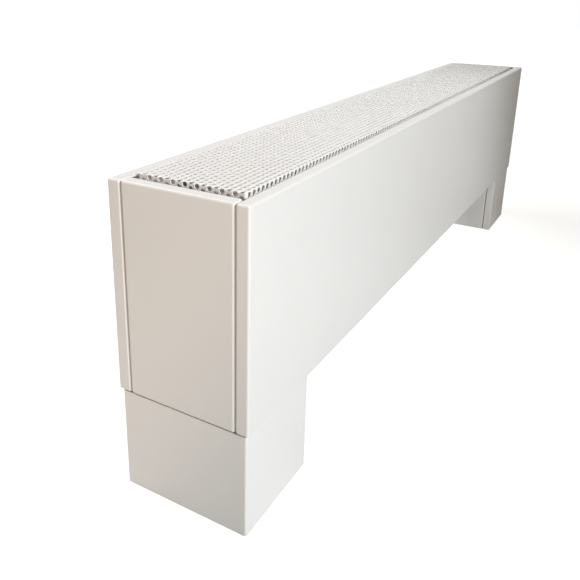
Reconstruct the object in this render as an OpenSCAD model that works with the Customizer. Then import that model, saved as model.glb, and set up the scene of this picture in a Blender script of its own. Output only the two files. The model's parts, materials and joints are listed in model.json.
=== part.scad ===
/* [Casing] */
// Length of the casing
casing_length = 1030; // [800:10:1600]
// Depth of the casing, front to back
casing_depth = 140; // [136:1:180]
// Height of the casing, without the feet
casing_height = 203; // [190:1:260]
// Thickness of the casing's sheet steel
sheet_t = 1.2; // [1:0.1:1.5]
// Outside radius of every fold
fold_r = 2.2; // [2:0.1:3]
// Width of the front panel's folded edges
front_return = 12.5; // [11:0.5:15]
// Width of the back panel's folded edges
back_return = 13.5; // [11:0.5:15]
// Width of the end panels' top and bottom flanges
end_flange = 12; // [10:0.5:15]
// Open joint beside each end panel
reveal = 1.2; // [0.8:0.1:2]
// Width of the strips behind the open joints
strip_w = 20; // [16:1:24]

/* [Feet] */
// Height of the feet under the casing
foot_height = 104; // [80:1:150]
// Length of each foot
foot_length = 113; // [108:1:140]
// Step from the casing's front to the foot's front
foot_inset_front = 2; // [1:0.5:4]
// Step from the casing's back to the foot's back
foot_inset_back = 3.5; // [1:0.5:5]
// Step from the casing's end to the foot's end
foot_inset_end = 1; // [0.5:0.5:3]
// Shadow gap over the foot covers
foot_gap = 1; // [0.5:0.5:2]
// Width of the foot covers' folded edges
foot_return = 12.5; // [10:0.5:16]
// Depth of the inner foot panels' flanges
foot_panel_flange = 12; // [8:1:20]
// Thickness of the stands' steel plate
stand_t = 3; // [2:0.5:4]
// Width of the stands' legs
stand_leg_w = 60; // [40:1:64]
// Diameter of the floor bolt holes
floor_hole_d = 9; // [7:0.5:11]
// Spacing of the floor bolt holes along the heater
floor_hole_x = 70; // [60:1:76]
// Spacing of the floor bolt holes across the heater
floor_hole_y = 90; // [80:1:96]

/* [Grille] */
// Diameter of the round holes
hole_d = 7; // [6:0.1:8]
// Distance between neighbouring holes, which stand in triangles
hole_pitch = 10; // [9.5:0.5:14]
// Thickness of the perforated sheet
grille_t = 1; // [0.8:0.1:1.5]
// Outside radius of the grille's folds
grille_r = 1.6; // [1.5:0.1:2]
// Gap along the front and back edges
grille_gap = 3.6; // [2:0.1:5]
// Gap at the ends
grille_end_gap = 8.4; // [2:0.1:12]
// Height of the grille over the casing's top
grille_rise = 2.2; // [0:0.1:4]
// Height of the grille's turned-down skirt
skirt_h = 9.2; // [9:0.1:12]
// Diameter of the holes in the turned-down skirt
skirt_hole_d = 5; // [4:0.1:5.4]
// Thickness of the pads under the grille
pad_t = 2; // [1:0.5:3]

/* [Heating element] */
// Height of the fins
fin_h = 90; // [70:1:95]
// Width of the fins, across the heater
fin_w = 96; // [88:1:97]
// Thickness of a fin
fin_t = 0.5; // [0.4:0.1:0.8]
// Distance between fins
fin_pitch = 8; // [6:0.5:12]
// From the grille's underside down to the fins
element_drop = 30; // [20:1:36]
// From the left end of the casing to the first fin
fins_start = 70; // [66:1:90]
// From the last fin to the right end of the casing
fins_end = 92; // [90:1:110]
// Outside diameter of the copper tube
tube_d = 15; // [15:1:18]
// Wall of the copper tube
tube_wall = 0.7; // [0.7:0.1:1]
// Distance between the two tubes
tube_spacing = 50; // [46:1:56]
// Wall of the collars that join the fins
collar_t = 0.5; // [0.4:0.1:0.8]

/* [Brackets] */
// Thickness of the bracket steel
bracket_t = 1.5; // [1:0.1:2]
// Width of the brackets' flanges
bracket_flange = 30; // [24:1:40]
// Width of the brackets' narrow arm flanges
arm_flange = 15; // [12:1:20]
// Clearance beside the fins
fin_clearance = 2; // [1:0.5:2]
// Height of the slides under the fins
slide_h = 4; // [3:0.5:6]

/* [Valves] */
// From the right end of the casing to the valves' axis
valve_inset = 45; // [43:1:50]
// Outside radius of the valve ports
port_r = 10.5; // [10.5:0.5:12]
// Outside radius of the valve bodies
valve_r = 12; // [11:0.5:13]
// Radius of the valve spindles
spindle_r = 3; // [2.5:0.1:4]
// Running clearance of whatever turns or slides
running = 0.08; // [0.03:0.01:0.1]
// Radius of the handwheel
wheel_r = 17; // [15:0.5:20]
// Height of the handwheel
wheel_h = 24; // [18:1:26]
// Radius of the lockshield cap
cap_r = 12; // [11:0.5:14]

/* [Screws] */
// Radius of the screw shanks
screw_r = 2; // [1.5:0.1:2.5]
// Radius of the screw heads
screw_head_r = 3.5; // [3:0.1:4]
// Height of the screw heads
screw_head_h = 2.2; // [1.5:0.1:3]
// Radial clearance of the screw holes
screw_clearance = 0.2; // [0.1:0.1:0.4]

/* [Hidden] */

$fn = 48;
half_l = casing_length / 2;
half_d = casing_depth / 2;
top_z = foot_height + casing_height;
inner_r = fold_r - sheet_t;

// Feet
foot_out = half_l - foot_inset_end;
foot_in = foot_out - foot_length;
foot_front = -half_d + foot_inset_front;
foot_back = half_d - foot_inset_back;
foot_mid_x = (foot_out + foot_in) / 2;
foot_mid_y = (foot_front + foot_back) / 2;
foot_top = foot_height - foot_gap;
stand_front = foot_front + sheet_t;
stand_back = foot_back - sheet_t;
foot_panel_y0 = foot_front + foot_return + reveal;
foot_panel_w = foot_back - foot_return - reveal - foot_panel_y0;

// Grille
grille_front = -half_d + front_return + grille_gap;
grille_back = half_d - back_return - grille_gap;
grille_w = grille_back - grille_front;
grille_half_l = half_l - end_flange - grille_end_gap;
grille_z = top_z + grille_rise;
skirt_z = grille_z - skirt_h;
row_pitch = hole_pitch * sin(60);
plate_l = 2 * (grille_half_l - grille_r);
plate_w = grille_w - 2 * grille_r;
rows = floor((plate_w - hole_d) / row_pitch) + 1;
row_holes = floor((plate_l - hole_d) / hole_pitch) + 1;
skirt_row = skirt_h - grille_r - skirt_hole_d / 2 - 0.2;

// Heating element
fins_x0 = -half_l + fins_start;
fins_x1 = half_l - fins_end;
fin_count = floor((fins_x1 - fins_x0 - fin_t) / fin_pitch) + 1;
fins_top = grille_z - grille_t - element_drop;
fins_z = fins_top - fin_h;
tube_r = tube_d / 2;
tube_z = fins_z + fin_h / 2;
tube_y = tube_spacing / 2;
bend_x = fins_x0 - 18;
socket_l = 12;
socket_r = tube_r + 1;

// Brackets
bracket_x = foot_in + 8;
bracket_z = foot_height + sheet_t;
arm_top = skirt_z - pad_t;
web_z = fins_z - slide_h;
arm_in = fin_w / 2 + fin_clearance;
panel_in = half_d - sheet_t;
window_w = 68;
window_sill = 14;
window_head = 10;

// Valves
valve_x = half_l - valve_inset;
port_l = 24;
nut_l = 16;
nut_r = 15;
olive_l = 4;
nut_clearance = 0.3;
grommet_clearance = 0.5;
tube_stop = 11;
bonnet_r = 8;
bonnet_h = 26;
bonnet_top = tube_z + bonnet_h;

// A quarter ring in the first quadrant: one fold of a sheet, seen along the fold.
module fold_2d(r, t) {
    intersection() {
        difference() {
            circle(r);
            circle(r - t);
        }
        square(r);
    }
}

// A folded channel that opens towards +X: its face stands on the Y axis.
module channel_2d(w, low, high, r, t) {
    translate([0, r]) square([t, w - 2 * r]);
    translate([r, 0]) square([low - r, t]);
    translate([r, w - t]) square([high - r, t]);
    translate([r, r]) rotate(180) fold_2d(r, t);
    translate([r, w - r]) rotate(90) fold_2d(r, t);
}

// Extrudes a profile drawn as (y, z) along X.
module along_x(x0, x1) {
    translate([x0, 0, 0]) rotate([90, 0, 90]) linear_extrude(x1 - x0) children();
}

// Extrudes a profile drawn as (x, z) along Y.
module along_y(y0, y1) {
    translate([0, y1, 0]) rotate([90, 0, 0]) linear_extrude(y1 - y0) children();
}

module mirror_x() {
    children();
    mirror([1, 0, 0]) children();
}

module screw(length) {
    cylinder(r = screw_head_r, h = screw_head_h);
    cylinder(r = screw_r, h = screw_head_h + length);
}

// The folded end of a front or back panel, with its rounded corners.
module panel_end(w) {
    z0 = foot_height;
    translate([-half_l, fold_r, z0 + fold_r]) cube([sheet_t, w - fold_r, casing_height - 2 * fold_r]);
    translate([-half_l + fold_r, fold_r, z0 + fold_r])
        rotate(180) linear_extrude(casing_height - 2 * fold_r) fold_2d(fold_r, sheet_t);
    along_y(fold_r, w) translate([-half_l + fold_r, z0 + fold_r]) rotate(180) fold_2d(fold_r, sheet_t);
    along_y(fold_r, w) translate([-half_l + fold_r, top_z - fold_r]) rotate(90) fold_2d(fold_r, sheet_t);
    for (z = [z0 + fold_r, top_z - fold_r])
        intersection() {
            translate([-half_l + fold_r, fold_r, z]) sphere(fold_r);
            translate([-half_l, 0, z == top_z - fold_r ? z : z0]) cube(fold_r);
        }
}

// A long panel with its face on the XZ plane and its folded edges reaching towards +Y.
module long_panel(w) {
    along_x(-half_l + fold_r, half_l - fold_r)
        translate([0, foot_height]) channel_2d(casing_height, w, w, fold_r, sheet_t);
    mirror_x() panel_end(w);
}

module screw_hole(x, y, r = screw_r + screw_clearance) {
    translate([x, y, 0]) cylinder(r = r, h = top_z / 2);
}

bolt_x = bracket_x + bracket_flange / 2 - 4;
panel_bolt_x = half_l - 17;
front_bolt_y = stand_front + screw_head_r + 1;
back_bolt_y = stand_back - screw_head_r - 1;
end_screw_x = half_l - 7.5;
end_screw_y = 35;

module front_panel() {
    color("white") difference() {
        translate([0, -half_d, 0]) long_panel(front_return);
        mirror_x() screw_hole(bolt_x, front_bolt_y);
        mirror_x() screw_hole(panel_bolt_x, front_bolt_y, screw_r);
        screw_hole(0, front_bolt_y);
    }
}

module back_panel() {
    color("white") difference() {
        translate([0, half_d, 0]) mirror([0, 1, 0]) long_panel(back_return);
        mirror_x() screw_hole(bolt_x, back_bolt_y);
        mirror_x() screw_hole(panel_bolt_x, back_bolt_y, screw_r);
        screw_hole(0, back_bolt_y);
    }
}

end_y0 = -half_d + front_return + reveal;
end_y1 = half_d - back_return - reveal;

module end_panel() {
    difference() {
        along_y(end_y0, end_y1)
            translate([-half_l, foot_height]) channel_2d(casing_height, end_flange, end_flange, fold_r, sheet_t);
        for (y = [-end_screw_y, end_screw_y]) screw_hole(-end_screw_x, y, screw_r);
    }
}

module left_end_panel() {
    color("gainsboro") end_panel();
}

module right_end_panel() {
    color("gainsboro") mirror([1, 0, 0]) end_panel();
}

module joint_strips() {
    z0 = foot_height + fold_r;
    color("gray") mirror_x()
        for (y = [end_y0 - reveal / 2, end_y1 + reveal / 2])
            translate([-half_l + sheet_t, y - strip_w / 2, z0]) cube([sheet_t, strip_w, casing_height - 2 * fold_r]);
}

module foot_cover() {
    w = foot_back - foot_front;
    color("white") difference() {
        translate([-foot_out, foot_front, 0]) linear_extrude(foot_top) {
            channel_2d(w, foot_length - fold_r, foot_length - fold_r, fold_r, sheet_t);
            for (side = [0, 1])
                translate([foot_length, side * w]) mirror([0, side]) {
                    translate([-fold_r, fold_r]) rotate(-90) fold_2d(fold_r, sheet_t);
                    translate([-sheet_t, fold_r]) square([sheet_t, foot_return - fold_r]);
                }
        }
        for (z = cover_screw_z)
            translate([-foot_mid_x, foot_back + 1, z]) rotate([90, 0, 0]) cylinder(r = screw_r + screw_clearance, h = 5);
    }
}

cover_screw_z = [26, 78];

module left_foot_cover() {
    foot_cover();
}

module right_foot_cover() {
    mirror([1, 0, 0]) foot_cover();
}

module foot_panel() {
    color("gainsboro") translate([-foot_in, foot_panel_y0, 0]) mirror([1, 0, 0])
        linear_extrude(foot_top) channel_2d(foot_panel_w, foot_panel_flange, foot_panel_flange, fold_r, sheet_t);
}

module left_foot_panel() {
    foot_panel();
}

module right_foot_panel() {
    mirror([1, 0, 0]) foot_panel();
}

pipe_hole_r = tube_r + 4;

module stand() {
    x0 = -foot_out + sheet_t;
    rim = 13;
    color("silver") difference() {
        union() {
            for (z = [0, foot_height - stand_t])
                translate([x0 + 1, stand_front + 1, z]) cube([-foot_in - foot_panel_flange - x0 - 1, stand_back - stand_front - 2, stand_t]);
            for (z = [0, foot_height - stand_t])
                translate([-foot_in - foot_panel_flange, foot_panel_y0 + sheet_t, z])
                    cube([foot_panel_flange - sheet_t, foot_panel_w - 2 * sheet_t, stand_t]);
            for (y = [stand_front, stand_back - stand_t])
                translate([-foot_mid_x - stand_leg_w / 2, y, 0]) cube([stand_leg_w, stand_t, foot_height]);
        }
        for (dx = [-1, 1], dy = [-1, 1])
            translate([-foot_mid_x + dx * floor_hole_x / 2, foot_mid_y + dy * floor_hole_y / 2, -1])
                cylinder(d = floor_hole_d, h = stand_t + 2);
        for (y = [-tube_y, tube_y])
            translate([-valve_x, y, -1]) cylinder(r = pipe_hole_r, h = stand_t + 2);
        translate([x0 + rim, stand_front + rim, foot_height - stand_t - 1])
            cube([-foot_in - foot_panel_flange - x0 - 2 * rim, stand_back - stand_front - 2 * rim, stand_t + 2]);
        for (y = [front_bolt_y, back_bolt_y]) {
            screw_hole(-bolt_x, y);
            screw_hole(-panel_bolt_x, y);
        }
        for (y = [-end_screw_y, end_screw_y]) screw_hole(-end_screw_x, y);
        for (z = cover_screw_z)
            translate([-foot_mid_x, stand_back + 1, z]) rotate([90, 0, 0]) cylinder(r = screw_r, h = stand_t + 2);
    }
}

module left_stand() {
    stand();
}

module right_stand() {
    mirror([1, 0, 0]) stand();
}

// A row of holes along X, centred.
module hole_row(count, y, size) {
    for (i = [0 : count - 1])
        translate([(i - (count - 1) / 2) * hole_pitch, y]) circle(d = size);
}

// The flat top: every second row is shifted by half a pitch.
module grille_plate() {
    difference() {
        square([plate_l, plate_w], center = true);
        for (j = [0 : rows - 1]) hole_row(row_holes - j % 2, (j - (rows - 1) / 2) * row_pitch, hole_d);
    }
}

// One side of the turned-down skirt with its fold, on the outer face's plane.
module grille_side(length) {
    count = floor((length - skirt_hole_d) / hole_pitch);
    translate([0, grille_t, skirt_z]) rotate([90, 0, 0]) linear_extrude(grille_t) difference() {
        translate([-length / 2, 0]) square([length, skirt_h - grille_r]);
        hole_row(count, skirt_row, skirt_hole_d);
    }
    along_x(-length / 2, length / 2)
        translate([grille_r, grille_z - grille_r]) rotate(90) fold_2d(grille_r, grille_t);
}

module top_grille() {
    mid_y = (grille_front + grille_back) / 2;
    color("white") translate([0, mid_y, 0]) {
        translate([0, 0, grille_z - grille_t]) linear_extrude(grille_t) grille_plate();
        for (side = [0, 1]) {
            mirror([0, side, 0]) translate([0, -grille_w / 2, 0]) grille_side(plate_l);
            mirror([side, 0, 0]) rotate(90) translate([0, -grille_half_l, 0]) grille_side(plate_w);
        }
    }
}

// A cross bracket: a web with a bay for the fins, and flanges against the panels.
module bracket(x) {
    color("silver") difference() {
        union() {
            along_x(x, x + bracket_t) difference() {
                translate([-panel_in, bracket_z]) square([2 * panel_in, arm_top - bracket_z]);
                translate([-arm_in, web_z]) square([2 * arm_in, arm_top]);
                for (side = [-1, 1])
                    translate([side * panel_in - inner_r, bracket_z - inner_r]) square(2 * inner_r);
            }
            translate([x, inner_r - panel_in, bracket_z]) cube([bracket_flange, 2 * (panel_in - inner_r), bracket_t]);
            for (side = [-1, 1]) {
                translate([x, side * (panel_in - bracket_t / 2) - bracket_t / 2, bracket_z + inner_r])
                    cube([arm_flange, bracket_t, arm_top - bracket_z - inner_r]);
                translate([x, side * (panel_in + arm_in) / 2 - (panel_in - arm_in) / 2, arm_top - bracket_t])
                    cube([arm_flange, panel_in - arm_in, bracket_t]);
            }
        }
        translate([x - 1, -window_w / 2, bracket_z + window_sill])
            cube([bracket_flange + 2, window_w, web_z - bracket_z - window_sill - window_head]);
        for (y = [front_bolt_y, back_bolt_y]) screw_hole(x + bracket_flange / 2, y, screw_r);
    }
}

module left_bracket() {
    mirror([1, 0, 0]) bracket(bolt_x - bracket_flange / 2);
}

module centre_bracket() {
    bracket(-bracket_flange / 2);
}

module right_bracket() {
    bracket(bolt_x - bracket_flange / 2);
}

// A slide sits over the edge of each bracket's bay and carries the fins.
module element_slides() {
    w = 2 * arm_in - 6;
    color("dimgray")
        for (x = [-bolt_x + bracket_flange / 2 - bracket_t, -bracket_flange / 2, bolt_x - bracket_flange / 2])
            difference() {
                translate([x - slide_h, -w / 2, web_z - slide_h]) cube([2 * slide_h + bracket_t, w, 2 * slide_h]);
                translate([x, -w / 2 - 1, web_z - slide_h - 1]) cube([bracket_t, w + 2, slide_h + 1]);
            }
}

module grille_pads() {
    w = panel_in - arm_in - 3;
    color("dimgray")
        for (x = [-bolt_x + bracket_flange / 2 - arm_flange, -bracket_flange / 2, bolt_x - bracket_flange / 2], side = [-1, 1])
            translate([x + 1, side * (arm_in + w / 2 + 1) - w / 2, arm_top]) cube([arm_flange - 2, w, pad_t]);
}

// Thin plates on two collars: the collars space the plates and hold the tubes.
module fins() {
    color("silver") difference() {
        union() {
            for (i = [0 : fin_count - 1])
                translate([fins_x0 + i * fin_pitch, -fin_w / 2, fins_z]) cube([fin_t, fin_w, fin_h]);
            for (y = [-tube_y, tube_y])
                translate([fins_x0, y, tube_z]) rotate([0, 90, 0])
                    cylinder(r = tube_r + collar_t, h = (fin_count - 1) * fin_pitch + fin_t);
        }
        for (y = [-tube_y, tube_y])
            translate([fins_x0 - 1, y, tube_z]) rotate([0, 90, 0])
                cylinder(r = tube_r, h = fin_count * fin_pitch + 2);
    }
}

module tube(length) {
    difference() {
        cylinder(r = tube_r, h = length);
        translate([0, 0, -1]) cylinder(r = tube_r - tube_wall, h = length + 2);
    }
}

module element_tube(y) {
    color("peru") translate([bend_x + 2, y, tube_z]) rotate([0, 90, 0])
        tube(valve_x - tube_stop - bend_x - 2);
}

module flow_tube() {
    element_tube(-tube_y);
}

module return_tube() {
    element_tube(tube_y);
}

// A half turn of tube with a socket on each end and a hole for the vent.
module return_bend() {
    color("peru") {
        difference() {
            translate([bend_x, 0, tube_z]) rotate(90) rotate_extrude(angle = 180)
                translate([tube_y, 0]) difference() {
                    circle(tube_r);
                    circle(tube_r - tube_wall);
                }
            translate([vent_x, 0, tube_z]) cylinder(r = vent_seat_r, h = tube_d);
        }
        for (y = [-tube_y, tube_y])
            translate([bend_x, y, tube_z]) rotate([0, 90, 0]) difference() {
                cylinder(r = socket_r, h = socket_l);
                translate([0, 0, -1]) cylinder(r = tube_r - tube_wall, h = 4);
                translate([0, 0, 2]) cylinder(r = tube_r, h = socket_l);
            }
    }
}

vent_x = bend_x - tube_y;
vent_seat_r = 3;
vent_base = tube_z + tube_r - 1.5;
vent_h = 12;
bleed_r = 2;
bleed_key = 2.6;
vent_bore_l = 30;

module vent_body() {
    color("goldenrod") difference() {
        translate([vent_x, 0, 0]) {
            translate([0, 0, tube_z + tube_r - tube_wall - 0.8]) cylinder(r = vent_seat_r, h = 4);
            translate([0, 0, tube_z + tube_r]) cylinder(r = 6, h = vent_h, $fn = 6);
        }
        translate([vent_x, 0, tube_z + tube_r + vent_h - 8]) cylinder(r = bleed_r + running, h = 10);
        translate([vent_x, 0, tube_z]) cylinder(r = 0.8, h = vent_bore_l);
    }
}

module bleed_screw() {
    color("goldenrod") translate([vent_x, 0, tube_z + tube_r + vent_h - 7]) {
        cylinder(r = bleed_r, h = 8.5);
        translate([-bleed_key / 2, -bleed_key / 2, 0]) cube([bleed_key, bleed_key, 12]);
    }
}

// An angle valve: a port to the tube, a port for the pipe from the floor, and a bonnet on top.
module angle_valve() {
    difference() {
        union() {
            translate([0, 0, -valve_r]) cylinder(r = valve_r, h = 2 * valve_r);
            translate([-port_l, 0, 0]) rotate([0, 90, 0]) cylinder(r = port_r, h = port_l);
            translate([0, 0, -port_l]) cylinder(r = port_r, h = port_l);
            cylinder(r = bonnet_r, h = bonnet_top - tube_z);
            translate([0, 0, valve_r]) cylinder(r = bonnet_r + 2, h = 6, $fn = 6);
        }
        translate([-port_l - 1, 0, 0]) rotate([0, 90, 0]) cylinder(r = tube_r, h = port_l - tube_stop + 1);
        translate([-port_l, 0, 0]) rotate([0, 90, 0]) cylinder(r = tube_r - 1.5, h = port_l);
        translate([0, 0, -port_l - 1]) cylinder(r = tube_r, h = port_l - tube_stop + 1);
        translate([0, 0, -port_l]) cylinder(r = tube_r - 1.5, h = port_l);
        translate([0, 0, 8]) cylinder(r = spindle_r + running, h = bonnet_top);
    }
}

module flow_valve() {
    color("silver") translate([valve_x, -tube_y, tube_z]) angle_valve();
}

module return_valve() {
    color("silver") translate([valve_x, tube_y, tube_z]) angle_valve();
}

// A union nut over a port: it holds the olive against the port's mouth.
module port_nut() {
    difference() {
        translate([0, 0, -port_l - olive_l - 4]) cylinder(r = nut_r, h = nut_l, $fn = 6);
        translate([0, 0, -port_l - olive_l - 5]) cylinder(r = tube_r + nut_clearance, h = 6);
        translate([0, 0, -port_l - olive_l]) cylinder(r = port_r, h = nut_l);
    }
}

module at_ports() {
    for (y = [-tube_y, tube_y])
        translate([valve_x, y, tube_z]) {
            children();
            rotate([0, 90, 0]) children();
        }
}

module valve_nuts() {
    color("silver") at_ports() port_nut();
}

module valve_olives() {
    color("goldenrod") at_ports() translate([0, 0, -port_l - olive_l]) difference() {
        cylinder(r = port_r - 0.5, h = olive_l);
        translate([0, 0, -1]) cylinder(r = tube_r + nut_clearance, h = olive_l + 2);
    }
}

module pipe_grommets() {
    color("dimgray") for (y = [-tube_y, tube_y])
        translate([valve_x, y, 0]) difference() {
            union() {
                cylinder(r = pipe_hole_r, h = stand_t + 2);
                translate([0, 0, stand_t]) cylinder(r = pipe_hole_r + 2, h = 2);
            }
            translate([0, 0, -1]) cylinder(r = tube_r + grommet_clearance, h = stand_t + 4);
        }
}

spindle_z = tube_z + 12;
wheel_z = bonnet_top + 1.5;
spindle_top = wheel_z + 14;

module valve_spindle() {
    color("silver") translate([valve_x, -tube_y, spindle_z]) cylinder(r = spindle_r, h = spindle_top - spindle_z);
}

module handwheel() {
    flutes = 12;
    color("white") translate([valve_x, -tube_y, wheel_z]) difference() {
        union() {
            cylinder(r = wheel_r, h = wheel_h - 3);
            translate([0, 0, wheel_h - 3]) cylinder(r1 = wheel_r, r2 = wheel_r - 3, h = 3);
        }
        for (i = [0 : flutes - 1])
            rotate(i * 360 / flutes) translate([wheel_r + 1.4, 0, 4]) cylinder(r = 3, h = wheel_h);
        translate([0, 0, -1]) cylinder(r = spindle_r, h = spindle_top - wheel_z + 1);
    }
}

module lockshield_spindle() {
    color("silver") translate([valve_x, tube_y, spindle_z]) {
        cylinder(r = spindle_r, h = bonnet_top - spindle_z + 1);
        translate([-2, -2, 0]) cube([4, 4, bonnet_top - spindle_z + 7]);
    }
}

module lockshield_cap() {
    skirt = 8;
    head = 11;
    color("white") translate([valve_x, tube_y, bonnet_top - skirt]) difference() {
        cylinder(r = cap_r, h = skirt + head);
        translate([0, 0, -1]) cylinder(r = bonnet_r + running, h = skirt + head - 2);
    }
}

module bracket_bolts() {
    color("silver") mirror_x() for (y = [front_bolt_y, back_bolt_y])
        translate([bolt_x, y, foot_height - stand_t - screw_head_h]) screw(stand_t + sheet_t + bracket_t + 2);
}

// The end screws of the long panels come up through the stands, and the middle ones through the flanges.
module panel_screws() {
    color("silver") for (y = [front_bolt_y, back_bolt_y]) {
        mirror_x() translate([panel_bolt_x, y, foot_height - stand_t - screw_head_h]) screw(stand_t + sheet_t + 2);
        translate([0, y, foot_height - screw_head_h]) screw(sheet_t + bracket_t + 2);
    }
}

module end_screws() {
    color("silver") mirror_x() for (y = [-end_screw_y, end_screw_y])
        translate([end_screw_x, y, foot_height - stand_t - screw_head_h]) screw(stand_t + sheet_t + 2);
}

module cover_screws() {
    color("white") mirror_x() for (z = cover_screw_z)
        translate([foot_mid_x, foot_back + screw_head_h, z]) rotate([90, 0, 0]) screw(sheet_t + stand_t + 1);
}

front_panel();
back_panel();
left_end_panel();
right_end_panel();
joint_strips();
left_foot_cover();
right_foot_cover();
left_foot_panel();
right_foot_panel();
left_stand();
right_stand();
left_bracket();
centre_bracket();
right_bracket();
element_slides();
grille_pads();
top_grille();
fins();
flow_tube();
return_tube();
return_bend();
vent_body();
bleed_screw();
flow_valve();
return_valve();
valve_nuts();
valve_olives();
pipe_grommets();
valve_spindle();
handwheel();
lockshield_spindle();
lockshield_cap();
bracket_bolts();
panel_screws();
end_screws();
cover_screws();
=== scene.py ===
import json
import math

import bmesh
import bpy
import numpy as np
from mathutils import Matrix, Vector


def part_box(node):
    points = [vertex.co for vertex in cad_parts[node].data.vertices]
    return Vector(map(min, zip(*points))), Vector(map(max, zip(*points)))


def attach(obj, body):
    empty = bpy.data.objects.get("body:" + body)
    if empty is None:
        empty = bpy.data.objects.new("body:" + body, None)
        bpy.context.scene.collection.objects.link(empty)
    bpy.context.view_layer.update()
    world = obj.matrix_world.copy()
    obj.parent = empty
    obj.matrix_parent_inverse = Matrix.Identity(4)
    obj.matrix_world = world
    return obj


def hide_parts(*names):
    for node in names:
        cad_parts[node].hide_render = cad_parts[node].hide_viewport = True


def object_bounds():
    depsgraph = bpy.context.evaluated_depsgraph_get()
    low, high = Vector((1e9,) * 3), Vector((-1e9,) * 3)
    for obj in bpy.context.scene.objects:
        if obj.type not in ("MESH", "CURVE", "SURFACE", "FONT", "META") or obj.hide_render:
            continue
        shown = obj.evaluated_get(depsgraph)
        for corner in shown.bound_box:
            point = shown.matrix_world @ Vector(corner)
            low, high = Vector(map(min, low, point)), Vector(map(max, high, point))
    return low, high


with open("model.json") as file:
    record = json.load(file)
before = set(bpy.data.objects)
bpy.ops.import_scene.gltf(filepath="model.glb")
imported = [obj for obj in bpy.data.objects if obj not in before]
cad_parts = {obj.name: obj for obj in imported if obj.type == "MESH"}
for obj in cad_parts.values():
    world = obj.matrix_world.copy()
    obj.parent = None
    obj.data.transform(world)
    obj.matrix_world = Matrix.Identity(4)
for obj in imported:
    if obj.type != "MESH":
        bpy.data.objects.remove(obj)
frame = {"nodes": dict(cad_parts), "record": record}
SOLID_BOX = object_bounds()

bl_info = {
    "name": "Baseboard Heater",
    "version": (1, 0, 0),
    "blender": (4, 5, 0),
    "location": "View3D > Sidebar > Heater",
    "description": "Casing, feet, perforated grille and finned element of a free-standing baseboard heater",
    "category": "Add Mesh",
}

X, Y, Z = 0, 1, 2

# Fineness of the meshes
FOLD_STEPS = 8              # flats in a quarter turn of the casing's folds
GRILLE_FOLD_STEPS = 6       # flats in a quarter turn of the grille's folds
HOLE_SIDES = 18             # corners of a round hole
HOLE_TURN = 10              # degrees from across the sheet to a hole's first corner
FIN_STEPS = 40              # strips across a fin, enough for its waves
COLLAR_SIDES = 28           # corners round a collar
RIM_STEPS = 2               # flats in the rounding of a cut edge

# Tolerances of the mesh work, in metres
CUT_TOLERANCE = 1e-7
FACE_TOLERANCE = 1e-5
WELD_DISTANCE = 2e-5

SQUARE_ON = 0.999           # least share of a normal that counts as facing along an axis
RIM_ANGLE = 50              # degrees, sharper edges are cut edges and get the coated rim
SHARP_ANGLE = 40            # degrees, sharper edges stay crisp in the shading
HOLES_ROUND = 6             # neighbours of a hole, which stand in triangles

# Collars on the tubes, in metres past the tube
COLLAR_WALL = 0.0004
COLLAR_FLARE = 0.0009

# Make-up of the finishes
TONE_BAND = (0.35, 0.65)    # where the uneven colour runs from its darker to its full tone
EDGE_BAND = (0.52, 0.6)     # where the lighter edges (rubbed paint and painted highlight) begin and are full
WEAR_AND_HIGHLIGHT_LIFT = 1.12            # lighter edges, rubbed paint and painted highlight, against the full tone
TONE_DETAIL = 5.0
GLOSS_DETAIL = 4.0
GLOSS_PATCH = 3.0           # the uneven gloss against the uneven colour
GRAIN_DETAIL = 2.0
GRAIN_STRENGTH = 0.35
SWAY_SCALE = 9.0            # broad waves that rolled sheet keeps
SWAY_DETAIL = 1.0
SWAY_STRENGTH = 0.5

# Sockets of a Mix node that mixes colours
MIX_FACTOR, MIX_FIRST, MIX_SECOND = 0, 6, 7
MIX_RESULT = 2

# Studio, in metres and degrees
KEY_LIGHT = {"place": (-0.8, -1.5, 1.0), "target": (-0.496, -0.07, 0.287), "colour": (0.93, 0.96, 1.0)}
KEY_BEAM = {"angle": 60, "edge": 0.5, "radius": 0.16}
SIDE_LIGHT = {"place": (-1.7, -0.25, 0.7), "target": (-0.515, 0.36, 0.5), "colour": (1.0, 0.77, 0.63)}
SIDE_BEAM = {"angle": 55, "edge": 0.44, "radius": 0.06}
BACK_LIGHT = {"place": (-0.15, 1.1, 1.5), "target": (-0.1, 0.0, 0.25), "colour": (1.0, 1.0, 1.0)}
BACK_SIZE = 1.0
WHITE = (1.0, 1.0, 1.0, 1.0)
FLOOR_COLOUR = (0.8, 0.79, 0.77, 1.0)
FLOOR_DROP = 0.0005         # keeps the floor clear of the feet
LIFT_REACH = (0.8, 2.6)     # distance from the heater over which the floor brightens
LIFT_STRENGTH = (0.74, 0.95)

# Camera, its place in lengths of the heater
CAMERA_PLACE = (-0.8868, -0.3025, 0.4491)
CAMERA_TURN = (71.422, -0.467, -58.658)
CAMERA_LENS = 41.763
CAMERA_SHIFT = (0.068, -0.1417)
CAMERA_CLIP = 0.05


class HeaterSheetSettings(bpy.types.PropertyGroup):
    """Sizes of the folded sheet steel"""
    thickness: bpy.props.FloatProperty(
        name="Sheet thickness", description="Thickness of the casing's steel",
        default=0.0012, min=0.0008, max=0.002, unit="LENGTH", subtype="DISTANCE")
    fold: bpy.props.FloatProperty(
        name="Fold radius", description="Outside radius of the casing's folds",
        default=0.0022, min=0.0015, max=0.004, unit="LENGTH", subtype="DISTANCE")
    lip: bpy.props.FloatProperty(
        name="Foot lip", description="Width of the foot covers' folded inner edges",
        default=0.0125, min=0.008, max=0.02, unit="LENGTH", subtype="DISTANCE")
    rim: bpy.props.FloatProperty(
        name="Rim rounding", description="Rounding that the coating leaves on cut edges",
        default=0.0003, min=0.0001, max=0.0006, unit="LENGTH", subtype="DISTANCE")
    roll: bpy.props.FloatProperty(
        name="Edge roll", description="Radius of the rolled inner edges of the long panels",
        default=0.0018, min=0.0014, max=0.003, unit="LENGTH", subtype="DISTANCE")


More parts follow.
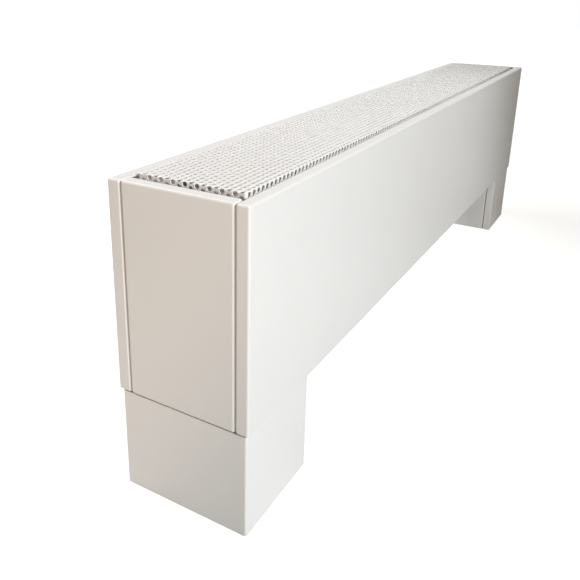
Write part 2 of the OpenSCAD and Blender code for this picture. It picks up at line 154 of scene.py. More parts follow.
class HeaterGrilleSettings(bpy.types.PropertyGroup):
    """Sizes of the perforated grille"""
    hole: bpy.props.FloatProperty(
        name="Hole diameter", description="Diameter of the round holes",
        default=0.005, min=0.003, max=0.006, unit="LENGTH", subtype="DISTANCE")
    pitch: bpy.props.FloatProperty(
        name="Hole pitch", description="Distance between neighbouring holes, which stand in triangles",
        default=0.007, min=0.0065, max=0.01, unit="LENGTH", subtype="DISTANCE")
    thickness: bpy.props.FloatProperty(
        name="Sheet thickness", description="Thickness of the perforated sheet",
        default=0.001, min=0.0006, max=0.0015, unit="LENGTH", subtype="DISTANCE")
    fold: bpy.props.FloatProperty(
        name="Fold radius", description="Outside radius of the grille's folds",
        default=0.0016, min=0.0012, max=0.002, unit="LENGTH", subtype="DISTANCE")
    first_row: bpy.props.FloatProperty(
        name="First row", description="From the front edge to the middle of the first row of holes",
        default=0.004, min=0.002, max=0.008, unit="LENGTH", subtype="DISTANCE")
    first_column: bpy.props.FloatProperty(
        name="First column", description="From the end face to the first column of holes",
        default=0.002, min=0.001, max=0.0045, unit="LENGTH", subtype="DISTANCE")


class HeaterFinSettings(bpy.types.PropertyGroup):
    """Sizes of the fin block"""
    pitch: bpy.props.FloatProperty(
        name="Fin pitch", description="Distance between fins",
        default=0.004, min=0.003, max=0.008, unit="LENGTH", subtype="DISTANCE")
    thickness: bpy.props.FloatProperty(
        name="Fin thickness", description="Thickness of a fin",
        default=0.00025, min=0.0002, max=0.0005, unit="LENGTH", subtype="DISTANCE")
    wave: bpy.props.FloatProperty(
        name="Fin wave", description="Height of the pressed waves in a fin",
        default=0.0004, min=0.0, max=0.001, unit="LENGTH", subtype="DISTANCE")
    wave_length: bpy.props.FloatProperty(
        name="Wave length", description="Length of one pressed wave",
        default=0.012, min=0.006, max=0.03, unit="LENGTH", subtype="DISTANCE")


class HeaterColourSettings(bpy.types.PropertyGroup):
    """Colours of the finishes"""
    casing: bpy.props.FloatVectorProperty(
        name="Casing", description="Colour of the casing's powder coat",
        default=(0.87, 0.865, 0.85), size=3, min=0.0, max=1.0, subtype="COLOR")
    grille: bpy.props.FloatVectorProperty(
        name="Grille", description="Colour of the grille's powder coat",
        default=(0.9, 0.9, 0.895), size=3, min=0.0, max=1.0, subtype="COLOR")
    steel: bpy.props.FloatVectorProperty(
        name="Galvanised steel", description="Colour of the brackets and stands",
        default=(0.62, 0.63, 0.64), size=3, min=0.0, max=1.0, subtype="COLOR")
    aluminium: bpy.props.FloatVectorProperty(
        name="Aluminium", description="Colour of the fins",
        default=(0.84, 0.85, 0.86), size=3, min=0.0, max=1.0, subtype="COLOR")
    copper: bpy.props.FloatVectorProperty(
        name="Copper", description="Colour of the tubes",
        default=(0.72, 0.42, 0.28), size=3, min=0.0, max=1.0, subtype="COLOR")
    brass: bpy.props.FloatVectorProperty(
        name="Brass", description="Colour of the vent and the olives",
        default=(0.78, 0.62, 0.3), size=3, min=0.0, max=1.0, subtype="COLOR")
    nickel: bpy.props.FloatVectorProperty(
        name="Nickel plate", description="Colour of the valves",
        default=(0.72, 0.71, 0.68), size=3, min=0.0, max=1.0, subtype="COLOR")
    # Painted shade: the strips behind the open joints are coloured dark grey to stand in for the shade
    # inside the joints.
    strip: bpy.props.FloatVectorProperty(
        name="Joint strips", description="Colour of the grey-coated strips behind the open joints",
        default=(0.46, 0.45, 0.43), size=3, min=0.0, max=1.0, subtype="COLOR")
    zinc: bpy.props.FloatVectorProperty(
        name="Zinc plate", description="Colour of the screws",
        default=(0.7, 0.7, 0.68), size=3, min=0.0, max=1.0, subtype="COLOR")
    plastic: bpy.props.FloatVectorProperty(
        name="White plastic", description="Colour of the handwheel and the cap",
        default=(0.88, 0.88, 0.86), size=3, min=0.0, max=1.0, subtype="COLOR")
    rubber: bpy.props.FloatVectorProperty(
        name="Rubber", description="Colour of the pads, slides and grommets",
        default=(0.06, 0.06, 0.06), size=3, min=0.0, max=1.0, subtype="COLOR")


class HeaterStudioSettings(bpy.types.PropertyGroup):
    """Light and floor"""
    key_power: bpy.props.FloatProperty(
        name="Key light", description="Power of the light at the front",
        default=90.0, min=0.0, unit="POWER")
    side_power: bpy.props.FloatProperty(
        name="Side light", description="Power of the light at the left end",
        default=20.0, min=0.0, unit="POWER")
    back_power: bpy.props.FloatProperty(
        name="Back light", description="Power of the soft light at the back",
        default=14.0, min=0.0, unit="POWER")
    room: bpy.props.FloatProperty(
        name="Room light", description="Strength of the even light all round", default=0.2, min=0.0)
    room_colour: bpy.props.FloatVectorProperty(
        name="Room colour", description="Colour of the even light all round",
        default=(1.0, 0.93, 0.78), size=3, min=0.0, max=1.0, subtype="COLOR")
    floor_size: bpy.props.FloatProperty(
        name="Floor size", description="Width of the floor",
        default=14.0, min=2.0, unit="LENGTH", subtype="DISTANCE")


# ---- Finishes ----

def link_all(tree, *pairs):
    """Links each output to its input."""
    for source, target in pairs:
        tree.links.new(source, target)


def noise(tree, coords, scale, detail, stretch=(1.0, 1.0, 1.0)):
    """A noise texture on the piece's own coordinates, stretched to follow a grain."""
    mapping = tree.nodes.new("ShaderNodeMapping")
    mapping.inputs["Scale"].default_value = stretch
    texture = tree.nodes.new("ShaderNodeTexNoise")
    texture.inputs["Scale"].default_value = scale
    texture.inputs["Detail"].default_value = detail
    link_all(tree, (coords, mapping.inputs["Vector"]),
             (mapping.outputs["Vector"], texture.inputs["Vector"]))
    return texture.outputs["Fac"]


def ramp(tree, value, band, low_colour, high_colour):
    """Turns a value into a colour that changes across a band."""
    node = tree.nodes.new("ShaderNodeValToRGB")
    for element, position, colour in zip(node.color_ramp.elements, band, (low_colour, high_colour)):
        element.position = position
        element.color = (*colour, 1.0)
    link_all(tree, (value, node.inputs["Fac"]))
    return node.outputs["Color"]


def bump(tree, height, strength, distance):
    """A bump node; its output still has to be linked."""
    node = tree.nodes.new("ShaderNodeBump")
    node.inputs["Strength"].default_value = strength
    node.inputs["Distance"].default_value = distance
    link_all(tree, (height, node.inputs["Height"]))
    return node


def new_finish(slot, colour, mottle, roughness, spread, grain, depth, metallic=0.0,
               stretch=(1.0, 1.0, 1.0), patch=6.0, wear_and_highlight=0.0, sway=0.0):
    """A surface with uneven colour, uneven gloss, a fine grain, and edges lightened as rubbed paint and as
    a painted highlight.
    """
    material = bpy.data.materials.new(slot + "_finish")
    material.use_nodes = True
    tree = material.node_tree
    shader = tree.nodes["Principled BSDF"]
    shader.inputs["Metallic"].default_value = metallic
    coords = tree.nodes.new("ShaderNodeTexCoord").outputs["Object"]
    darker = tuple(c * (1.0 - mottle) for c in colour)
    tone = ramp(tree, noise(tree, coords, patch, TONE_DETAIL, stretch), TONE_BAND, darker, tuple(colour))

    # Painted highlight, partly rubbed paint: convex edges found by pointiness are lightened.
    pointed = tree.nodes.new("ShaderNodeNewGeometry").outputs["Pointiness"]
    edge = ramp(tree, pointed, EDGE_BAND, (0.0, 0.0, 0.0), (wear_and_highlight, wear_and_highlight, wear_and_highlight))
    worn_and_lit = tree.nodes.new("ShaderNodeMix")
    worn_and_lit.data_type = "RGBA"
    lifted = tuple(min(1.0, c * WEAR_AND_HIGHLIGHT_LIFT) for c in colour)
    worn_and_lit.inputs[MIX_SECOND].default_value = (*lifted, 1.0)
    link_all(tree, (edge, worn_and_lit.inputs[MIX_FACTOR]), (tone, worn_and_lit.inputs[MIX_FIRST]),
             (worn_and_lit.outputs[MIX_RESULT], shader.inputs["Base Color"]))

    gloss = tree.nodes.new("ShaderNodeMapRange")
    gloss.inputs["To Min"].default_value = roughness - spread
    gloss.inputs["To Max"].default_value = roughness + spread
    link_all(tree, (noise(tree, coords, patch * GLOSS_PATCH, GLOSS_DETAIL, stretch), gloss.inputs["Value"]),
             (gloss.outputs["Result"], shader.inputs["Roughness"]))

    fine = bump(tree, noise(tree, coords, grain, GRAIN_DETAIL, stretch), GRAIN_STRENGTH, depth)
    link_all(tree, (fine.outputs["Normal"], shader.inputs["Normal"]))
    if sway:
        broad = bump(tree, noise(tree, coords, SWAY_SCALE, SWAY_DETAIL), SWAY_STRENGTH, sway)
        link_all(tree, (broad.outputs["Normal"], fine.inputs["Normal"]))
    return material


def powder_coat(colours):
    """The casing's white coat, over sheet that isn't quite flat."""
    return new_finish("powder_coat", colours.casing, mottle=0.012, roughness=0.36, spread=0.05,
                      grain=900.0, depth=0.00004, wear_and_highlight=0.5, sway=0.0012)


def grille_coat(colours):
    """The grille's white coat."""
    return new_finish("grille_coat", colours.grille, mottle=0.015, roughness=0.4, spread=0.05,
                      grain=900.0, depth=0.00004, wear_and_highlight=0.4)


def joint_shade_coat(colours):
    """Painted shade: a dark grey coat on the strips behind the open joints, standing in for the shade
    inside the joints.
    """
    return new_finish("joint_shade_coat", colours.strip, mottle=0.05, roughness=0.5, spread=0.08,
                      grain=900.0, depth=0.00003, patch=60.0, wear_and_highlight=0.2)


def galvanised_steel(colours):
    """Zinc spangle on the brackets and stands."""
    return new_finish("galvanised_steel", colours.steel, mottle=0.22, roughness=0.42, spread=0.12,
                      grain=240.0, depth=0.00006, metallic=0.9, patch=55.0, wear_and_highlight=0.6)


def fin_aluminium(colours):
    """Bright fin stock, with its grain running up the fins."""
    return new_finish("fin_aluminium", colours.aluminium, mottle=0.1, roughness=0.38, spread=0.1,
                      grain=500.0, depth=0.00003, metallic=0.3, stretch=(1.0, 1.0, 0.2), patch=30.0,
                      wear_and_highlight=0.4)


def copper(colours):
    """Drawn copper tube, with its marks running along it."""
    return new_finish("copper", colours.copper, mottle=0.25, roughness=0.3, spread=0.1,
                      grain=400.0, depth=0.00002, metallic=1.0, stretch=(0.15, 1.0, 1.0), patch=25.0,
                      wear_and_highlight=0.3)


def brass(colours):
    """Turned brass."""
    return new_finish("brass", colours.brass, mottle=0.12, roughness=0.28, spread=0.08,
                      grain=700.0, depth=0.00002, metallic=1.0, patch=60.0, wear_and_highlight=0.4)


def nickel_plate(colours):
    """Bright nickel on the valves."""
    return new_finish("nickel_plate", colours.nickel, mottle=0.08, roughness=0.2, spread=0.07,
                      grain=600.0, depth=0.00002, metallic=1.0, patch=50.0, wear_and_highlight=0.5)


def zinc_plate(colours):
    """Zinc on the screws and bolts."""
    return new_finish("zinc_plate", colours.zinc, mottle=0.15, roughness=0.35, spread=0.1,
                      grain=700.0, depth=0.00002, metallic=1.0, patch=80.0, wear_and_highlight=0.5)


def white_plastic(colours):
    """Moulded plastic of the handwheel and the cap."""
    return new_finish("white_plastic", colours.plastic, mottle=0.02, roughness=0.34, spread=0.05,
                      grain=1100.0, depth=0.00002, patch=30.0, wear_and_highlight=0.3)


def black_rubber(colours):
    """Matt rubber."""
    return new_finish("black_rubber", colours.rubber, mottle=0.3, roughness=0.75, spread=0.08,
                      grain=800.0, depth=0.00006, patch=60.0, wear_and_highlight=0.6)


FINISHES = {
    "powder_coat": powder_coat,
    "grille_coat": grille_coat,
    "joint_shade_coat": joint_shade_coat,
    "galvanised_steel": galvanised_steel,
    "fin_aluminium": fin_aluminium,
    "copper": copper,
    "brass": brass,
    "nickel_plate": nickel_plate,
    "zinc_plate": zinc_plate,
    "white_plastic": white_plastic,
    "black_rubber": black_rubber,
}
# Painted shade: the joint strips get the dark grey coat, which stands in for the shade inside the open
# joints.
OWN_FINISH = {"joint_strips": "joint_shade_coat"}


def finish_for(slot):
    """The material of a slot, made the first time it is asked for."""
    found = bpy.data.materials.get(slot + "_finish")
    if found is None:
        found = FINISHES[slot](bpy.context.scene.heater_colours)
    return found


def dress(piece, slot):
    """Gives a piece one finish all over."""
    piece.data.materials.clear()
    piece.data.materials.append(finish_for(slot))


# ---- Pieces ----

def add_piece(name, mesh, slot, body, *nodes):
    """Links a mesh as a piece that rides on a body and stands for solid nodes."""
    piece = bpy.data.objects.new(name, mesh)
    bpy.context.scene.collection.objects.link(piece)
    dress(piece, slot)
    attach(piece, body)
    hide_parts(*nodes)
    return piece


def everything(bm):
    """All that a mesh holds, as its cutting tool wants it."""
    return bm.verts[:] + bm.edges[:] + bm.faces[:]


def cut(bm, axis, place, side=0):
    """Cuts across an axis. Side 1 removes what lies above the cut and -1 what lies below; 0 keeps both."""
    point = Vector((0.0, 0.0, 0.0))
    normal = Vector((0.0, 0.0, 0.0))
    point[axis] = place
    normal[axis] = side or 1
    bmesh.ops.bisect_plane(bm, geom=everything(bm), dist=CUT_TOLERANCE, plane_co=point, plane_no=normal,
                           clear_outer=side != 0)


def rounded_box(low, high, radius, open_sides):
    """A box with rounded edges that stops short, with a clean cut, on each open side (axis, sign)."""
    low, high = Vector(low), Vector(high)
    cuts = [(axis, high[axis] if sign > 0 else low[axis], sign) for axis, sign in open_sides]
    past_rounding = 4 * radius
    for axis, sign in open_sides:
        if sign > 0:
            high[axis] += past_rounding
        else:
            low[axis] -= past_rounding
    bm = bmesh.new()
    bmesh.ops.create_cube(bm, size=1.0)
    for v in bm.verts:
        v.co = Vector([low[i] if v.co[i] < 0 else high[i] for i in (X, Y, Z)])
    bmesh.ops.bevel(bm, geom=bm.edges[:], offset=radius, offset_type="OFFSET", segments=FOLD_STEPS,
                    profile=0.5, affect="EDGES", clamp_overlap=True)
    for axis, place, side in cuts:
        cut(bm, axis, place, side)
    return bm


def open_window(bm, axis, sign, across, low, high):
    """Removes the middle of one face, from low to high across it."""
    face_at = max(sign * v.co[axis] for v in bm.verts)
    cut(bm, across, low)
    cut(bm, across, high)
    inside = [f for f in bm.faces
              if sign * f.calc_center_median()[axis] > face_at - FACE_TOLERANCE
              and low < f.calc_center_median()[across] < high]
    bmesh.ops.delete(bm, geom=inside, context="FACES")


def roll_rim(bm, axis, sign, radius, fold, low, high):
    """Rolls the open rim of a folded tray from low to high inwards, along a quarter circle."""
    across = [i for i in (X, Y, Z) if i != axis]
    rim = [e for e in bm.edges if e.is_boundary]
    verts = list({v for e in rim for v in e.verts})
    starts = {}
    for v in verts:
        near = Vector((v.co[across[0]], v.co[across[1]]))
        core = Vector([min(max(near[k], low[i] + fold), high[i] - fold) for k, i in enumerate(across)])
        starts[v] = (v.co.copy(), (near - core).normalized())
    for step in range(1, FOLD_STEPS + 1):
        angle = math.pi / 2 * step / FOLD_STEPS
        made = bmesh.ops.extrude_edge_only(bm, edges=rim)["geom"]
        rim = [g for g in made if isinstance(g, bmesh.types.BMEdge)]
        moved = {}
        for v in (g for g in made if isinstance(g, bmesh.types.BMVert)):
            nearest = min(starts, key=lambda start: (start.co - v.co).length_squared)
            moved[v] = starts[nearest]
            place, outwards = starts[nearest]
            v.co = place.copy()
            v.co[axis] += sign * radius * math.sin(angle)
            for k, i in enumerate(across):
                v.co[i] -= outwards[k] * radius * (1 - math.cos(angle))
        starts = moved


def finish_mesh(bm, name):
    """Turns the working mesh into a smooth-shaded one."""
    for f in bm.faces:
        f.smooth = True
    mesh = bpy.data.meshes.new(name)
    bm.to_mesh(mesh)
    bm.free()
    return mesh


def thicken(piece, sheet, rim=None):
    """Gives a sheet its thickness on the inside and its coated rim."""
    solid = piece.modifiers.new("sheet", "SOLIDIFY")
    solid.thickness = sheet
    solid.offset = -1.0
    solid.use_even_offset = True
    if rim:
        bevel = piece.modifiers.new("rim", "BEVEL")
        bevel.width = rim
        bevel.segments = RIM_STEPS
        bevel.limit_method = "ANGLE"
        bevel.angle_limit = math.radians(RIM_ANGLE)
        piece.modifiers.new("shading", "WEIGHTED_NORMAL")


def sheet_piece(name, bm, node):
    """A piece of the casing, in coated sheet."""
    sheet = bpy.context.scene.heater_sheet
    piece = add_piece(name, finish_mesh(bm, name), "powder_coat", "casing", node)
    thicken(piece, sheet.thickness, sheet.rim)
    return piece


class HEATER_OT_long_panels(bpy.types.Operator):
    """Build the front and back panels, folded on all four sides"""
    bl_idname = "heater.long_panels"
    bl_label = "Long Panels"

    def execute(self, context):
        sheet = context.scene.heater_sheet
        for side, sign in (("front", 1), ("back", -1)):
            node = side + "_panel"
            low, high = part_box(node)
            reach = [low.copy(), high.copy()]
            open_end = reach[1] if sign > 0 else reach[0]
            open_end.y -= sign * sheet.roll
            tray = rounded_box(*reach, sheet.fold, [(Y, sign)])
            roll_rim(tray, Y, sign, sheet.roll, sheet.fold, low, high)
            sheet_piece(side + "_casing_panel", tray, node)
        return {"FINISHED"}


class HEATER_OT_end_panels(bpy.types.Operator):
    """Build the two end panels, flanged at the top and bottom and rolled at the sides"""
    bl_idname = "heater.end_panels"
    bl_label = "End Panels"

    def execute(self, context):
        fold = context.scene.heater_sheet.fold
        for side, sign in (("left", 1), ("right", -1)):
            node = side + "_end_panel"
            lid = rounded_box(*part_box(node), fold, [(X, sign)])
            lid.normal_update()
            side_flanges = [f for f in lid.faces if abs(f.normal.y) > SQUARE_ON]
            bmesh.ops.delete(lid, geom=side_flanges, context="FACES")
            sheet_piece(side + "_casing_end", lid, node)
        return {"FINISHED"}


class HEATER_OT_feet(bpy.types.Operator):
    """Build the feet: a three-sided cover and an inner panel each"""
    bl_idname = "heater.feet"
    bl_label = "Feet"

    def execute(self, context):
        sheet = context.scene.heater_sheet
        for side, sign in (("left", 1), ("right", -1)):
            low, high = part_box(side + "_foot_cover")
            cover = rounded_box(low, high, sheet.fold, [(Z, 1), (Z, -1)])
            open_window(cover, X, sign, Y, low.y + sheet.lip, high.y - sheet.lip)
            sheet_piece(side + "_foot_shell", cover, side + "_foot_cover")
            inner = rounded_box(*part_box(side + "_foot_panel"), sheet.fold, [(Z, 1), (Z, -1), (X, -sign)])
            sheet_piece(side + "_foot_door", inner, side + "_foot_panel")
        return {"FINISHED"}


def baked(piece):
    """Applies a piece's modifiers and marks its sharp edges."""
    graph = bpy.context.evaluated_depsgraph_get()
    mesh = bpy.data.meshes.new_from_object(piece.evaluated_get(graph))
    piece.modifiers.clear()
    piece.data = mesh
    mesh.shade_smooth()
    mesh.set_sharp_from_angle(angle=math.radians(SHARP_ANGLE))
    return piece


def hole_cell(grille):
    """Corners of one hole, then of the six-sided cell round it, as flat places about its middle."""
    turn = np.radians(HOLE_TURN + 360 / HOLE_SIDES * np.arange(HOLE_SIDES))
    half_side = math.pi / HOLES_ROUND
    to_side = (turn + half_side) % (2 * half_side) - half_side
    round_it = np.stack([np.cos(turn), np.sin(turn)], 1)
    border = grille.pitch / 2 / np.cos(to_side)
    return np.concatenate([grille.hole / 2 * round_it, border[:, None] * round_it])


def hole_centres(half_l, half_w, grille, offset):
    """Places of the holes, in staggered rows that cover the sheet."""
    row_pitch = grille.pitch * math.sin(math.pi / 3)
    rows = np.arange(-math.ceil(2 * half_w / row_pitch) - 2, 3)
    columns = np.arange(-2, math.ceil(2 * half_l / grille.pitch) + 3)
    centres = []
    for row in rows:
        y = offset[1] + row * row_pitch
        x = offset[0] + (columns + 0.5 * (row % 2)) * grille.pitch
        if abs(y) < half_w + grille.pitch:
            centres += [(a, y) for a in x if abs(a) < half_l + grille.pitch]
    return np.array(centres)


def perforated_blank(half_l, half_w, grille, offset):
    """A flat perforated sheet: a six-sided cell round each hole, welded to its neighbours."""
    cell = hole_cell(grille)
    centres = hole_centres(half_l, half_w, grille, offset)
    points = (centres[:, None, :] + cell[None]).reshape(-1, 2)
    points = np.concatenate([points, np.zeros((len(points), 1))], 1)
    k = np.arange(HOLE_SIDES)
    after = (k + 1) % HOLE_SIDES
    quads = np.stack([k, k + HOLE_SIDES, after + HOLE_SIDES, after], 1)
    faces = (quads[None] + (np.arange(len(centres)) * len(cell))[:, None, None]).reshape(-1, 4)
    mesh = bpy.data.meshes.new("blank")
    mesh.from_pydata(points.tolist(), [], faces.tolist())
    bm = bmesh.new()
    bm.from_mesh(mesh)
    bpy.data.meshes.remove(mesh)
    bmesh.ops.remove_doubles(bm, verts=bm.verts[:], dist=WELD_DISTANCE)
    return bm


def fold_down(excess, radius):
    """How far a point past the start of a fold reaches outwards and down."""
    quarter = radius * math.pi / 2
    if excess <= quarter:
        return radius * math.sin(excess / radius), radius * (1 - math.cos(excess / radius))
    return radius, radius + excess - quarter


def corner_patch(bm, middle, radius, top, bottom, turn):
    """A rounded corner where two skirts meet."""
    quarter_turn = [math.pi / 2 * i / GRILLE_FOLD_STEPS for i in range(GRILLE_FOLD_STEPS + 1)]
    levels = [(radius * math.sin(a), top - radius * (1 - math.cos(a))) for a in quarter_turn]
    levels.append((radius, bottom))
    grid = []
    for reach, z in levels:
        line = []
        for a in quarter_turn:
            x = middle[0] + reach * math.cos(turn + a)
            y = middle[1] + reach * math.sin(turn + a)
            line.append(bm.verts.new((x, y, z)))
        grid.append(line)
    for upper, lower in zip(grid, grid[1:]):
        for i in range(GRILLE_FOLD_STEPS):
            bm.faces.new((upper[i], lower[i], lower[i + 1], upper[i + 1]))


def trim_blank(bm, flat, quarter, reach):
    """Cuts the blank to its outline, scores it where it folds and notches its corners."""
    for axis in (X, Y):
        for side in (-1, 1):
            cut(bm, axis, side * reach[axis], side)
            for i in range(GRILLE_FOLD_STEPS + 1):
                cut(bm, axis, side * (flat[axis] + quarter * i / GRILLE_FOLD_STEPS))
    notches = [f for f in bm.faces
               if abs(f.calc_center_median().x) > flat[X] and abs(f.calc_center_median().y) > flat[Y]]
    bmesh.ops.delete(bm, geom=notches, context="FACES")


def fold_skirts(bm, flat, fold, top):
    """Folds down all that lies past the flat top."""
    for v in bm.verts:
        down = 0.0
        for axis in (X, Y):
            excess = abs(v.co[axis]) - flat[axis]
            if excess > 0:
                out, deeper = fold_down(excess, fold)
                v.co[axis] = math.copysign(flat[axis] + out, v.co[axis])
                down += deeper
        v.co.z = top - down


class HEATER_OT_top_grille(bpy.types.Operator):
    """Build the perforated grille, folded down on all four sides"""
    bl_idname = "heater.top_grille"
    bl_label = "Top Grille"

    def execute(self, context):
        grille = context.scene.heater_grille
        low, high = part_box("top_grille")
        middle = (low + high) / 2
        flat = [(high[i] - low[i]) / 2 - grille.fold for i in (X, Y)]
        quarter = grille.fold * math.pi / 2
        drop = high.z - low.z - grille.fold
        reach = [f + quarter + drop for f in flat]
        offset = (grille.first_column - flat[X] - grille.fold, flat[Y] + grille.fold - grille.first_row)
        bm = perforated_blank(*reach, grille, offset)
        bmesh.ops.scale(bm, vec=(1.0, -1.0, 1.0), verts=bm.verts[:])
        bmesh.ops.reverse_faces(bm, faces=bm.faces[:])
        trim_blank(bm, flat, quarter, reach)
        fold_skirts(bm, flat, grille.fold, high.z)
        for i, (sx, sy) in enumerate(((1, 1), (-1, 1), (-1, -1), (1, -1))):
            corner = (sx * flat[X], sy * flat[Y])
            corner_patch(bm, corner, grille.fold, high.z, low.z, i * math.pi / 2)
        for v in bm.verts:
            v.co.x += middle.x
            v.co.y += middle.y
        name = "perforated_grille"
        piece = add_piece(name, finish_mesh(bm, name), "grille_coat", "grille", "top_grille")
        thicken(piece, grille.thickness)
        baked(piece)
        return {"FINISHED"}


class HEATER_OT_fin_block(bpy.types.Operator):
    """Build the fins with their pressed waves and the collars on the tubes"""
    bl_idname = "heater.fin_block"
    bl_label = "Fin Block"

    def execute(self, context):
        fin = context.scene.heater_fins
        low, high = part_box("fins")
        self.add_fins(fin, low, high)
        self.add_collars(fin, low, high)
        return {"FINISHED"}

    def add_fins(self, fin, low, high):
        """Waved fins, evenly spaced, with room for the waves at both ends."""
        end_room = 2 * fin.wave
        count = int((high.x - low.x - 2 * end_room) / fin.pitch)
        start = (low.x + high.x - count * fin.pitch) / 2
        bm = bmesh.new()
        for i in range(count + 1):
            x = start + i * fin.pitch
            line = []
            for j in range(FIN_STEPS + 1):
                y = low.y + (high.y - low.y) * j / FIN_STEPS
                bend = fin.wave * math.cos(2 * math.pi * y / fin.wave_length)
                line.append([bm.verts.new((x + bend, y, z)) for z in (low.z, high.z)])
            for a, b in zip(line, line[1:]):
                bm.faces.new((a[0], b[0], b[1], a[1]))
        name = "finned_block"
        piece = add_piece(name, finish_mesh(bm, name), "fin_aluminium", "casing", "fins")
        thicken(piece, fin.thickness)
        piece.modifiers["sheet"].offset = 0.0
        baked(piece)

    def add_collars(self, fin, low, high):
        """Sleeves on the tubes, with a flare at every fin."""
        tube_low, tube_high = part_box("flow_tube")
        radius = (tube_high.z - tube_low.z) / 2
        z = (tube_low.z + tube_high.z) / 2
        steps = 2 * int((high.x - low.x) / fin.pitch)
        turns = [2 * math.pi * k / COLLAR_SIDES for k in range(COLLAR_SIDES)]
        bm = bmesh.new()
        for node in ("flow_tube", "return_tube"):
            y = (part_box(node)[0].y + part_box(node)[1].y) / 2
            rings = []
            for i in range(steps + 1):
                r = radius + (COLLAR_FLARE if i % 2 else COLLAR_WALL)
                x = low.x + (high.x - low.x) * i / steps
                rings.append([bm.verts.new((x, y + r * math.cos(a), z + r * math.sin(a))) for a in turns])
            for a, b in zip(rings, rings[1:]):
                for k in range(COLLAR_SIDES):
                    n = (k + 1) % COLLAR_SIDES
                    bm.faces.new((a[k], a[n], b[n], b[k]))
        name = "fin_collars"
        add_piece(name, finish_mesh(bm, name), "fin_aluminium", "casing", "fins")


class HEATER_OT_inner_works(bpy.types.Operator):
    """Give the stands, brackets, tubes, valves and screws their finishes"""
    bl_idname = "heater.inner_works"
    bl_label = "Inner Works"

    def execute(self, context):
        slots = {part["node"]: part["material_slot"] for part in frame["record"]["subparts"]}
        for name, node in frame["nodes"].items():
            if not node.hide_render:
                dress(node, OWN_FINISH.get(name, slots[name]))
        return {"FINISHED"}


# ---- Studio ----

def hang_lamp(name, lamp, power, place, target, colour):
    """Hangs a lamp at a place, turned to its target."""
    lamp.energy = power
    lamp.color = colour
    light = bpy.data.objects.new(name, lamp)
    light.location = place
    light.rotation_euler = (Vector(target) - Vector(place)).to_track_quat("-Z", "Y").to_euler()
    bpy.context.scene.collection.objects.link(light)


def soft_lamp(name, size):
    """A square lamp."""
    lamp = bpy.data.lights.new(name, "AREA")
    lamp.shape = "RECTANGLE"
    lamp.size = size
    lamp.size_y = size
    return lamp


def spot_lamp(name, angle, edge, radius):
    """A lamp with a soft round edge to its beam."""
    lamp = bpy.data.lights.new(name, "SPOT")
    lamp.spot_size = math.radians(angle)
    lamp.spot_blend = edge
    lamp.shadow_soft_size = radius
    return lamp


def math_node(tree, operation, first, second):
    """A sum on two outputs."""
    node = tree.nodes.new("ShaderNodeMath")
    node.operation = operation
    link_all(tree, (first, node.inputs[0]), (second, node.inputs[1]))
    return node.outputs[0]


def seen_directly(tree):
    """1 for rays from the lens, from gloss and through glass, and 0 for rays that carry light."""
    path = tree.nodes.new("ShaderNodeLightPath").outputs
    lens_or_gloss = math_node(tree, "MAXIMUM", path["Is Camera Ray"], path["Is Glossy Ray"])
    return math_node(tree, "MAXIMUM", lens_or_gloss, path["Is Transmission Ray"])


def floor_lift(tree):
    """Strength of the floor's own white: rises away from the heater, and only the lens sees it."""
    away = tree.nodes.new("ShaderNodeVectorMath")
    away.operation = "LENGTH"
    rise = tree.nodes.new("ShaderNodeMapRange")
    rise.inputs["From Min"].default_value, rise.inputs["From Max"].default_value = LIFT_REACH
    rise.inputs["To Min"].default_value, rise.inputs["To Max"].default_value = LIFT_STRENGTH
    link_all(tree, (tree.nodes.new("ShaderNodeTexCoord").outputs["Object"], away.inputs[0]),
             (away.outputs["Value"], rise.inputs["Value"]))
    seen = tree.nodes.new("ShaderNodeLightPath").outputs["Is Camera Ray"]
    return math_node(tree, "MULTIPLY", seen, rise.outputs["Result"])


def pale_floor():
    """A matt pale floor that keeps the shadow and looks nearly white."""
    material = bpy.data.materials.new("pale_floor")
    material.use_nodes = True
    tree = material.node_tree
    tree.nodes.remove(tree.nodes["Principled BSDF"])
    matt = tree.nodes.new("ShaderNodeBsdfDiffuse")
    matt.inputs["Color"].default_value = FLOOR_COLOUR
    lift = tree.nodes.new("ShaderNodeEmission")
    lift.inputs["Color"].default_value = WHITE
    both = tree.nodes.new("ShaderNodeAddShader")
    surface = tree.nodes["Material Output"].inputs["Surface"]
    link_all(tree, (floor_lift(tree), lift.inputs["Strength"]), (matt.outputs[0], both.inputs[0]),
             (lift.outputs[0], both.inputs[1]), (both.outputs[0], surface))
    return material


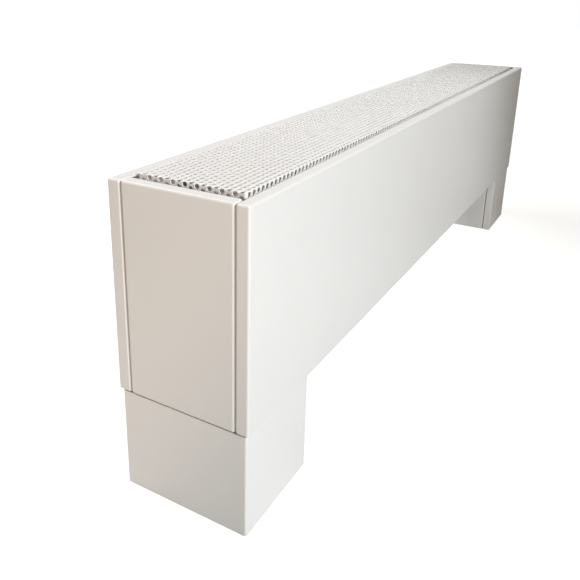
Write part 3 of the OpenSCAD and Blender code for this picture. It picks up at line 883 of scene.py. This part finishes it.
class HEATER_OT_studio(bpy.types.Operator):
    """Set up the floor, the backdrop, the lights and the camera"""
    bl_idname = "heater.studio"
    bl_label = "Studio"

    def execute(self, context):
        studio = context.scene.heater_studio
        self.add_floor(studio)
        self.add_backdrop(context.scene, studio)
        hang_lamp("key_light", spot_lamp("key_light", **KEY_BEAM), studio.key_power, **KEY_LIGHT)
        hang_lamp("side_light", spot_lamp("side_light", **SIDE_BEAM), studio.side_power, **SIDE_LIGHT)
        hang_lamp("back_light", soft_lamp("back_light", BACK_SIZE), studio.back_power, **BACK_LIGHT)
        self.add_camera(context.scene)
        context.scene.view_settings.view_transform = "Standard"
        return {"FINISHED"}

    def add_floor(self, studio):
        """The floor, a hair under the feet."""
        half = studio.floor_size / 2
        corners = [(-half, -half, 0.0), (half, -half, 0.0), (half, half, 0.0), (-half, half, 0.0)]
        mesh = bpy.data.meshes.new("floor")
        mesh.from_pydata(corners, [], [(0, 1, 2, 3)])
        mesh.materials.append(pale_floor())
        floor = bpy.data.objects.new("floor", mesh)
        floor.location.z = -FLOOR_DROP
        bpy.context.scene.collection.objects.link(floor)

    def add_backdrop(self, scene, studio):
        """An even room light that looks white from the lens and in gloss."""
        world = bpy.data.worlds.new("backdrop")
        scene.world = world
        world.use_nodes = True
        tree = world.node_tree
        room = tree.nodes["Background"]
        room.inputs["Color"].default_value = (*studio.room_colour, 1.0)
        room.inputs["Strength"].default_value = studio.room
        white = tree.nodes.new("ShaderNodeBackground")
        white.inputs["Color"].default_value = WHITE
        white.inputs["Strength"].default_value = 1.0
        mix = tree.nodes.new("ShaderNodeMixShader")
        link_all(tree, (seen_directly(tree), mix.inputs[0]), (room.outputs[0], mix.inputs[1]),
                 (white.outputs[0], mix.inputs[2]),
                 (mix.outputs[0], tree.nodes["World Output"].inputs["Surface"]))

    def add_camera(self, scene):
        """The camera, placed from the heater's length."""
        low, high = SOLID_BOX
        lens = bpy.data.cameras.new("camera")
        lens.lens = CAMERA_LENS
        lens.shift_x, lens.shift_y = CAMERA_SHIFT
        lens.clip_start = CAMERA_CLIP
        camera = bpy.data.objects.new("camera", lens)
        camera.location = Vector(CAMERA_PLACE) * (high.x - low.x)
        camera.rotation_euler = [math.radians(a) for a in CAMERA_TURN]
        scene.collection.objects.link(camera)
        scene.camera = camera


class HEATER_PT_sidebar(bpy.types.Panel):
    """Buttons and settings for the heater"""
    bl_idname = "HEATER_PT_sidebar"
    bl_label = "Baseboard Heater"
    bl_space_type = "VIEW_3D"
    bl_region_type = "UI"
    bl_category = "Heater"

    def draw(self, context):
        for group, cls in SETTINGS.items():
            box = self.layout.box()
            for name in cls.__annotations__:
                box.prop(getattr(context.scene, group), name)
        for operator in OPERATORS:
            self.layout.operator(operator.bl_idname)


SETTINGS = {
    "heater_sheet": HeaterSheetSettings,
    "heater_grille": HeaterGrilleSettings,
    "heater_fins": HeaterFinSettings,
    "heater_colours": HeaterColourSettings,
    "heater_studio": HeaterStudioSettings,
}
OPERATORS = (
    HEATER_OT_long_panels,
    HEATER_OT_end_panels,
    HEATER_OT_feet,
    HEATER_OT_top_grille,
    HEATER_OT_fin_block,
    HEATER_OT_inner_works,
    HEATER_OT_studio,
)
CLASSES = (*SETTINGS.values(), *OPERATORS, HEATER_PT_sidebar)


def register():
    for cls in CLASSES:
        bpy.utils.register_class(cls)
    for name, cls in SETTINGS.items():
        setattr(bpy.types.Scene, name, bpy.props.PointerProperty(type=cls))


def unregister():
    for name in SETTINGS:
        delattr(bpy.types.Scene, name)
    for cls in reversed(CLASSES):
        bpy.utils.unregister_class(cls)


def main():
    register()
    bpy.ops.heater.long_panels()
    bpy.ops.heater.end_panels()
    bpy.ops.heater.feet()
    bpy.ops.heater.top_grille()
    bpy.ops.heater.fin_block()
    bpy.ops.heater.inner_works()
    bpy.ops.heater.studio()


if __name__ == "__main__":
    main()
